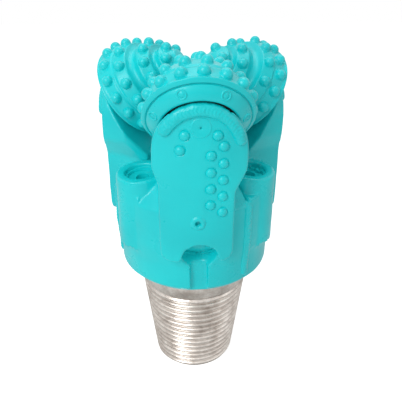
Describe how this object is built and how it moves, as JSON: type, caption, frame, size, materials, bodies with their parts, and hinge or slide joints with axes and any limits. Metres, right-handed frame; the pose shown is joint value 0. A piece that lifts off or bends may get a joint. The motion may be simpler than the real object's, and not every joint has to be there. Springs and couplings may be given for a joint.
{
  "type": "tricone drill bit",
  "caption": "Roller cone drill bit with domed carbide inserts, sealed cone bearings, jet nozzles and a tapered API pin.",
  "frame": {"origin": "centre of the pin's end face, on the bit axis", "axes": "+Z along the bit axis from the pin up to the cones; leg 1 faces -Y"},
  "size_m": [0.1366, 0.1314, 0.2636],
  "materials": {
    "painted_steel": "gloss turquoise paint",
    "painted_carbide": "gloss turquoise paint over carbide",
    "carbide": "satin",
    "spring_steel": "satin",
    "bronze": "machined",
    "rubber": "matte"
  },
  "bodies": {
    "bit_body": {"leg_1": "painted_steel", "leg_2": "painted_steel", "leg_3": "painted_steel", "hardfacing_1": "painted_steel", "hardfacing_2": "painted_steel", "hardfacing_3": "painted_steel", "shirttail_buttons_1": "painted_carbide", "shirttail_buttons_2": "painted_carbide", "shirttail_buttons_3": "painted_carbide", "ball_plug_1": "painted_steel", "ball_plug_2": "painted_steel", "ball_plug_3": "painted_steel", "grease_plug_1": "painted_steel", "grease_plug_2": "painted_steel", "grease_plug_3": "painted_steel", "reservoir_cap_1": "painted_steel", "reservoir_cap_2": "painted_steel", "reservoir_cap_3": "painted_steel", "reservoir_diaphragm_1": "rubber", "reservoir_diaphragm_2": "rubber", "reservoir_diaphragm_3": "rubber", "reservoir_ring_1": "spring_steel", "reservoir_ring_2": "spring_steel", "reservoir_ring_3": "spring_steel", "nozzle_1": "carbide", "nozzle_2": "carbide", "nozzle_3": "carbide", "nozzle_seal_1": "rubber", "nozzle_seal_2": "rubber", "nozzle_seal_3": "rubber", "nozzle_ring_1": "spring_steel", "nozzle_ring_2": "spring_steel", "nozzle_ring_3": "spring_steel", "dowel_pins": "spring_steel", "seam_welds": "painted_steel"},
    "cone_assembly_1": {"cone_1": "painted_steel", "heel_inserts_1": "painted_carbide", "gauge_inserts_1": "painted_carbide", "inner_inserts_1": "painted_carbide", "cone_bushing_1": "bronze", "bearing_balls_1": "spring_steel", "cone_seal_1": "rubber", "thrust_washer_1": "bronze"},
    "cone_assembly_2": {"cone_2": "painted_steel", "heel_inserts_2": "painted_carbide", "gauge_inserts_2": "painted_carbide", "inner_inserts_2": "painted_carbide", "cone_bushing_2": "bronze", "bearing_balls_2": "spring_steel", "cone_seal_2": "rubber", "thrust_washer_2": "bronze"},
    "cone_assembly_3": {"cone_3": "painted_steel", "heel_inserts_3": "painted_carbide", "gauge_inserts_3": "painted_carbide", "inner_inserts_3": "painted_carbide", "cone_bushing_3": "bronze", "bearing_balls_3": "spring_steel", "cone_seal_3": "rubber", "thrust_washer_3": "bronze"}
  },
  "joints": [
    {"name": "cone_spin_1", "type": "hinge", "parent": "bit_body", "child": "cone_assembly_1", "pos_m": [0, -0.0491, 0.2227], "axis": [0, 0.809, 0.5878], "continuous": true},
    {"name": "cone_spin_2", "type": "hinge", "parent": "bit_body", "child": "cone_assembly_2", "pos_m": [0.04252, 0.02455, 0.2227], "axis": [-0.7006, -0.4045, 0.5878], "continuous": true},
    {"name": "cone_spin_3", "type": "hinge", "parent": "bit_body", "child": "cone_assembly_3", "pos_m": [-0.04252, 0.02455, 0.2227], "axis": [0.7006, -0.4045, 0.5878], "continuous": true}
  ]
}
